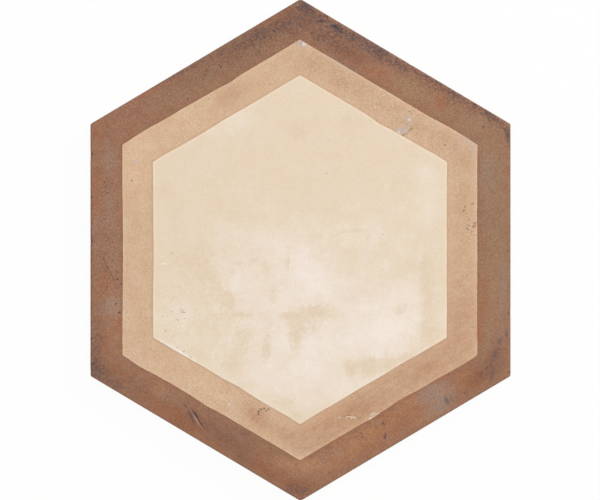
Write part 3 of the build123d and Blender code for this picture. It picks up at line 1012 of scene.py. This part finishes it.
class ClayFinish(Finish):
    """A finish of the tile, with its shader and the marks of wear."""

    def __init__(self, name):
        self.material = bpy.data.materials.new(name)
        self.material.use_nodes = True
        self.shader = self.material.node_tree.nodes["Principled BSDF"]
        super().__init__(self.material.node_tree)
        wobble = self.add("ShaderNodeTexNoise")
        wobble.inputs["Scale"].default_value = 1 / NUDGE_GRAIN
        self.put(wobble.inputs["Vector"], self.place)
        centred = self.vector("SUBTRACT", wobble.outputs[1], (0.5, 0.5, 0.5))
        pushed = self.vector("MULTIPLY", centred, (2 * NUDGE, 2 * NUDGE, 0))
        self.nudged = self.vector("ADD", self.place, pushed)

    def dot(self, first, second):
        node = self.add("ShaderNodeVectorMath", operation="DOT_PRODUCT")
        self.put(node.inputs[0], first)
        self.put(node.inputs[1], second)
        return node.outputs["Value"]

    def mark(self, mark, soft=MARK_SOFTNESS, place=None):
        """1 inside one mark, and a soft edge."""
        x, y, length, width, turn = mark
        angle = math.radians(turn)
        away = self.vector("SUBTRACT", self.nudged if place is None else place, (x, y, 0))
        along = self.dot(away, (math.cos(angle) / length, math.sin(angle) / length, 0))
        beside = self.dot(away, (-math.sin(angle) / width, math.cos(angle) / width, 0))
        both = self.add("ShaderNodeCombineXYZ")
        self.put(both.inputs[0], along)
        self.put(both.inputs[1], beside)
        span = self.add("ShaderNodeVectorMath", operation="LENGTH")
        self.put(span.inputs[0], both.outputs[0])
        return self.rise(span.outputs["Value"], 1 + soft, 1 - soft)

    def marks(self, marks, soft=MARK_SOFTNESS, place=None):
        """1 inside any of the marks."""
        covered = self.mark(marks[0], soft, place)
        for mark in marks[1:]:
            covered = self.math("MAXIMUM", covered, self.mark(mark, soft, place))
        return covered

    def foot(self, zone, width, grain):
        """1 at the foot of the next step, where painted shade darkens it, broken up by the grain."""
        short = self.math("MULTIPLY", zone, width)
        uneven = self.math("MULTIPLY", grain, FOOT_RAGGED)
        return self.rise(self.math("ADD", short, uneven), FOOT_STARTS, FOOT_FULL)

    def rim(self, zone, width, grain, reach):
        """1 on the rim of a panel, painted paler there as a highlight and as rubbed wear, fading over a
        reach that the grain makes uneven.
        """
        from_rim = self.math("MULTIPLY", zone, width)
        uneven = self.math("MULTIPLY", grain, RIM_RAGGED)
        return self.rise(self.math("ADD", from_rim, uneven), reach, 0.0)

    def sand(self, large, small, other):
        """Grain of two sizes about 0, stronger where the mesh says that the clay is coarse."""
        lumps = self.math("MULTIPLY", self.cloud(large, 3.0, 0.7, other), LUMP_STRENGTH)
        grit = self.math("MULTIPLY", self.cloud(small, 1.0, 0.5, other + 40.0), GRIT_STRENGTH)
        both = self.math("ADD", lumps, grit)
        coarser = self.math("MULTIPLY", self.reading("coarse"), COARSER_GRAIN)
        stronger = self.math("ADD", coarser, PLAIN_GRAIN)
        return self.math("MULTIPLY", both, stronger)

    def streaks(self, width, length, turn, other):
        """Noise about 0 that is drawn out along a direction, as a brush or a drip leaves it."""
        node = self.add("ShaderNodeMapping", vector_type="TEXTURE")
        self.put(node.inputs["Vector"], self.nudged)
        node.inputs["Rotation"].default_value = (0, 0, math.radians(turn))
        node.inputs["Scale"].default_value = (length / width, 1, 1)
        return self.cloud(width, 3.0, 0.6, other, node.outputs["Vector"])

    def patchy(self, name, grain, ragged, low, high, other=0.0, rough=0.7):
        """A stain that the mesh carries, broken up by noise."""
        broken = self.math("MULTIPLY", self.cloud(grain, 5.0, rough, other), ragged)
        return self.rise(self.math("ADD", self.reading(name), broken), low, high)

    def cover(self, under, over, share, strength):
        """A colour laid over another where a share says, at a strength."""
        return self.mix(under, over, self.math("MULTIPLY", share, strength))

    def worn(self, colour, marks, over, strength, soft=MARK_SOFTNESS, place=None):
        """A colour with another laid over it inside a list of marks."""
        return self.cover(colour, over, self.marks(marks, soft, place), strength)

    def vary(self, colour, value, amount):
        """A colour made lighter and darker by a value about 0, as grey grain would, without a tint."""
        node = self.add("ShaderNodeVectorMath", operation="SCALE")
        node.inputs[0].default_value = GREY_GRAIN
        self.put(node.inputs["Scale"], self.math("MULTIPLY", value, amount))
        return self.vector("MULTIPLY", colour, self.vector("ADD", node.outputs["Vector"], (1, 1, 1)))

    def dull(self, base, *changes):
        """Sets how rough the surface is, from a base and pairs of a value and how much it adds."""
        rough = self.math("ADD", base, self.math("MULTIPLY", *changes[0]))
        for value, amount in changes[1:]:
            rough = self.math("ADD", rough, self.math("MULTIPLY", value, amount))
        self.put(self.shader.inputs["Roughness"], rough)
        self.shader.inputs["Specular IOR Level"].default_value = MATT_SHINE

    def bump(self, height, depth):
        """Unevenness finer than the mesh, with its depth in millimetres."""
        node = self.add("ShaderNodeBump")
        node.inputs["Strength"].default_value = 1.0
        node.inputs["Distance"].default_value = depth * MM
        self.put(node.inputs["Height"], height)
        self.put(self.shader.inputs["Normal"], node.outputs[0])


print("small marks are nudged by up to", NUDGE, "mm")

# %% [markdown]
# ## Border
# The border is a brown fired clay that was scorched in places. Two browns drift into each other. Then
# come the clay's own colours, khaki, rust and ochre, with ash over them and soot in flecks on top. Painted
# shade darkens the foot of the step up to the band. Fine grain goes over it all, and the marks of wear
# come last, with painted shade in the gouge's groove, a painted highlight on its lit wall and a painted
# shadow beside it.

# %% Border
def border_finish():
    finish = ClayFinish("border_finish")
    zone = finish.reading("zone")
    grain = finish.sand(1.0, 0.5, 0.0)
    mottle = finish.rise(finish.cloud(6.0, 5.0, 0.7, 31.0), -0.18, 0.18)
    colour = finish.mix(paint(149, 106, 82), paint(158, 116, 91), mottle)
    khaki = finish.patchy("khaki", 5.0, 1.6, 0.1, 0.9, 79.0)
    colour = finish.cover(colour, paint(160, 127, 98), khaki, 0.75)
    rust = finish.patchy("rust", 3.5, 2.2, 0.15, 0.85, 11.0)
    colour = finish.cover(colour, paint(163, 103, 69), rust, 0.62)
    ochre = finish.patchy("ochre", 4.0, 1.8, 0.1, 0.9, 41.0)
    colour = finish.cover(colour, paint(170, 125, 90), ochre, 0.75)
    ash = finish.patchy("ash", 4.0, 1.0, 0.1, 0.95, 23.0)
    colour = finish.cover(colour, paint(154, 129, 113), ash, 0.75)
    colour = finish.tone(colour, finish.reading("shade"))
    soot = finish.patchy("soot", 1.3, 3.0, 0.22, 0.93, 59.0, 0.8)
    colour = finish.cover(colour, paint(76, 68, 76), soot, 0.6)
    flecked = finish.reading("flecked")
    sooty = finish.rise(finish.cloud(0.9, 2.0, 0.6, 61.0), 0.03, 0.16)
    colour = finish.cover(colour, paint(56, 52, 60), finish.math("MULTIPLY", sooty, flecked), 0.68)
    pale = finish.rise(finish.cloud(1.0, 2.0, 0.6, 89.0), 0.06, 0.18)
    colour = finish.cover(colour, paint(178, 142, 118), finish.math("MULTIPLY", pale, flecked), 0.52)
    specks = finish.rise(finish.cloud(0.8, 2.0, 0.6, 67.0), 0.13, 0.24)
    colour = finish.cover(colour, paint(92, 68, 58), specks, 0.4)
    # Painted shade at the foot of the step up to the band.
    foot = finish.foot(finish.math("SUBTRACT", zone, 1.0), border_width, grain)
    colour = finish.cover(colour, paint(112, 80, 60), foot, 0.14)
    colour = finish.vary(colour, grain, 0.9)
    colour = finish.worn(colour, RUBS, paint(178, 126, 90), 0.5)
    colour = finish.worn(colour, SMUDGES, paint(80, 79, 86), 0.5, SMUDGE_SOFTNESS)
    # A painted shadow beside the gouge.
    colour = finish.worn(colour, GOUGE_SHADOW, paint(96, 68, 72), 0.7, SMUDGE_SOFTNESS, finish.place)
    colour = finish.worn(colour, VEINS, paint(78, 62, 60), 0.6)
    dark = finish.math("MAXIMUM", finish.marks(BORDER_SCRATCHES), finish.marks(BORDER_PITS))
    colour = finish.cover(colour, paint(62, 54, 56), dark, 0.72)
    # Painted shade in the gouge's groove, then a painted highlight on its lit wall.
    colour = finish.worn(colour, GOUGE, paint(70, 62, 70), 0.85, GOUGE_SOFTNESS, finish.place)
    colour = finish.worn(colour, GOUGE_HIGHLIGHT, paint(194, 154, 126), 0.48, GOUGE_SOFTNESS, finish.place)
    finish.put(finish.shader.inputs["Base Color"], colour)
    finish.dull(0.66, (grain, 0.2), (soot, 0.12))
    finish.bump(grain, 0.06)
    return finish.material


border_clay = border_finish()
print("border:", len(border_clay.node_tree.nodes), "nodes")

# %% [markdown]
# ## Band
# The tan band is a paler slip with a sandy grain. It takes rust as a rosy tint in brushed streaks,
# strongest on the lower right, and ash as a lilac grey. Its rim is painted a little paler, partly as
# rubbed wear where feet and mops meet the raised edge and partly as a painted highlight where the edge
# catches the light, and painted shade darkens the foot of the next step.

# %% Band
def band_finish():
    finish = ClayFinish("band_finish")
    zone = finish.reading("zone")
    grain = finish.sand(1.1, 0.5, 5.0)
    mottle = finish.rise(finish.cloud(7.0, 5.0, 0.65, 37.0), -0.18, 0.18)
    colour = finish.mix(paint(212, 176, 143), paint(218, 186, 155), mottle)
    brushed = finish.math("MULTIPLY", finish.streaks(1.4, 9.0, 31.0, 49.0), finish.reading("rust"))
    blotched = finish.math("ADD", finish.math("MULTIPLY", finish.cloud(4.0, 5.0, 0.7, 13.0), 0.6), brushed)
    rust = finish.rise(finish.math("ADD", finish.reading("rust"), blotched), -0.1, 1.1)
    colour = finish.cover(colour, paint(185, 136, 104), rust, 0.95)
    ash = finish.patchy("ash", 1.8, 1.2, 0.1, 1.0, 29.0)
    colour = finish.cover(colour, paint(198, 181, 172), ash, 0.85)
    colour = finish.tone(colour, finish.reading("shade"))
    # The rim is painted lighter, partly as rubbed wear and partly as a painted highlight on the raised
    # edge.
    rim_highlight_and_wear = finish.rim(finish.math("SUBTRACT", zone, 1.0), BAND_WIDTH, grain, 1.7)
    colour = finish.tone(colour, finish.math("MULTIPLY", rim_highlight_and_wear, 0.09))
    # Painted shade at the foot of the step up to the field.
    foot = finish.foot(finish.math("SUBTRACT", zone, 2.0), BAND_WIDTH, grain)
    colour = finish.cover(colour, paint(158, 124, 92), foot, 0.22)
    specks = finish.rise(finish.cloud(0.8, 2.0, 0.6, 73.0), 0.18, 0.27)
    colour = finish.cover(colour, paint(166, 127, 97), specks, 0.45)
    colour = finish.vary(colour, grain, 0.44)
    colour = finish.worn(colour, BAND_SCRAPES, paint(184, 126, 98), 0.7, SMUDGE_SOFTNESS)
    colour = finish.worn(colour, BAND_HOLES, paint(88, 62, 44), 0.75, MARK_SOFTNESS, finish.place)
    # Pits and cracks are darkened, and so is a painted shadow along the row of chips.
    pits_and_shadows = finish.math("MAXIMUM", finish.marks(BAND_PITS_AND_SHADOWS), finish.marks(BAND_CRACKS))
    colour = finish.cover(colour, paint(124, 90, 66), pits_and_shadows, 0.62)
    chips = finish.marks(BAND_CHIPS)
    colour = finish.cover(colour, paint(246, 238, 228), chips, 0.8)
    colour = finish.worn(colour, BAND_FLAKES, paint(238, 220, 202), 0.78)
    finish.put(finish.shader.inputs["Base Color"], colour)
    finish.dull(0.68, (grain, 0.2), (chips, 0.15))
    finish.bump(grain, 0.19)
    return finish.material


band_clay = band_finish()
print("band:", len(band_clay.node_tree.nodes), "nodes")

# %% [markdown]
# ## Field
# The cream field is the cleanest panel: a warm white slip, with chalky clouds in its lower half,
# streaked where they ran, and a tea-coloured wash with ragged edges. Its rim is painted pale as the
# band's is, partly rubbed wear and partly a painted highlight, and its grain is the faintest of the three.

# %% Field
def field_finish():
    finish = ClayFinish("field_finish")
    zone = finish.reading("zone")
    grain = finish.sand(1.0, 0.5, 9.0)
    mottle = finish.rise(finish.cloud(9.0, 5.0, 0.6, 43.0), -0.18, 0.18)
    colour = finish.mix(paint(231, 211, 184), paint(233, 214, 190), mottle)
    streaked = finish.math("MULTIPLY", finish.streaks(1.8, 12.0, 76.0, 47.0), finish.reading("drips"))
    clouded = finish.math("ADD", finish.math("MULTIPLY", finish.cloud(8.0, 5.0, 0.6, 17.0), 0.9), streaked)
    chalk = finish.rise(finish.math("ADD", finish.reading("chalk"), clouded), 0.0, 1.0)
    colour = finish.cover(colour, paint(245, 233, 222), chalk, 0.95)
    tea = finish.patchy("tea", 2.4, 2.0, 0.25, 0.95, 53.0, 0.85)
    colour = finish.cover(colour, paint(227, 206, 178), tea, 0.85)
    # The rim is painted lighter, partly as rubbed wear and partly as a painted highlight on the raised
    # edge.
    rim_highlight_and_wear = finish.rim(finish.math("SUBTRACT", zone, 2.0), field_depth, grain, 1.6)
    colour = finish.tone(colour, finish.math("MULTIPLY", rim_highlight_and_wear, 0.068))
    colour = finish.vary(colour, grain, 0.28)
    colour = finish.worn(colour, FIELD_PITS, paint(150, 122, 92), 0.65)
    colour = finish.worn(colour, FIELD_CHIPS, paint(248, 244, 238), 0.7)
    finish.put(finish.shader.inputs["Base Color"], colour)
    finish.dull(0.62, (grain, 0.2), (chalk, 0.1))
    finish.bump(grain, 0.04)
    return finish.material


field_clay = field_finish()
print("field:", len(field_clay.node_tree.nodes), "nodes")

# %% [markdown]
# ## Body
# The flank and back are bare fired clay, with grog in it and no slip. The border's colour runs over the
# arris and ends on the land in a ragged line. The rim and ribs of the back are dusted with the pale wash
# that keeps a tile from sticking to the kiln.

# %% Body
SLIP_END = 7.2
SLIP_FADE = 0.15


def body_finish():
    finish = ClayFinish("fired_body")
    grain = finish.cloud(0.7, 4.0, 0.7, 3.0)
    drift = finish.rise(finish.cloud(14.0, 4.0, 0.6, 19.0), -0.2, 0.2)
    colour = finish.mix(paint(178, 140, 112), paint(190, 154, 126), drift)
    height = finish.add("ShaderNodeSeparateXYZ")
    finish.put(height.inputs[0], finish.place)
    level = height.outputs["Z"]
    dusted = finish.rise(finish.math("ADD", level, finish.math("MULTIPLY", grain, 1.2)), 0.3, 0.0)
    colour = finish.cover(colour, paint(214, 196, 176), dusted, 0.6)
    ragged = finish.math("MULTIPLY", finish.cloud(3.0, 3.0, 0.6, 71.0), 2.5)
    slipped = finish.rise(finish.math("ADD", level, ragged), SLIP_END - SLIP_FADE, SLIP_END + SLIP_FADE)
    colour = finish.mix(colour, paint(148, 107, 83), slipped)
    grog = finish.rise(finish.cloud(1.3, 1.0, 0.4, 83.0), 0.16, 0.24)
    colour = finish.cover(colour, paint(120, 88, 68), grog, 0.4)
    colour = finish.vary(colour, grain, 0.5)
    finish.put(finish.shader.inputs["Base Color"], colour)
    finish.dull(0.82, (grain, 0.2))
    finish.bump(grain, 0.1)
    return finish.material


body_clay = body_finish()
print("body:", len(body_clay.node_tree.nodes), "nodes")

# %% [markdown]
# ## Finishes on the mesh
# Each face of the mesh carries the number of its panel, so the finishes go into the mesh's material slots
# in the order of those numbers: border, band, field and body.

# %% Finishes on the mesh
for material in (border_clay, band_clay, field_clay, body_clay):
    tile_mesh.materials.append(material)
print(len(tile_mesh.materials), "finishes on the tile")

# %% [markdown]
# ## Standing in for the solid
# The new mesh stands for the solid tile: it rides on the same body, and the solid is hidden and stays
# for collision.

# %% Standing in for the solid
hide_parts("floor_tile")
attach(fired_tile, "root")
print(fired_tile.name, "stands for the solid")
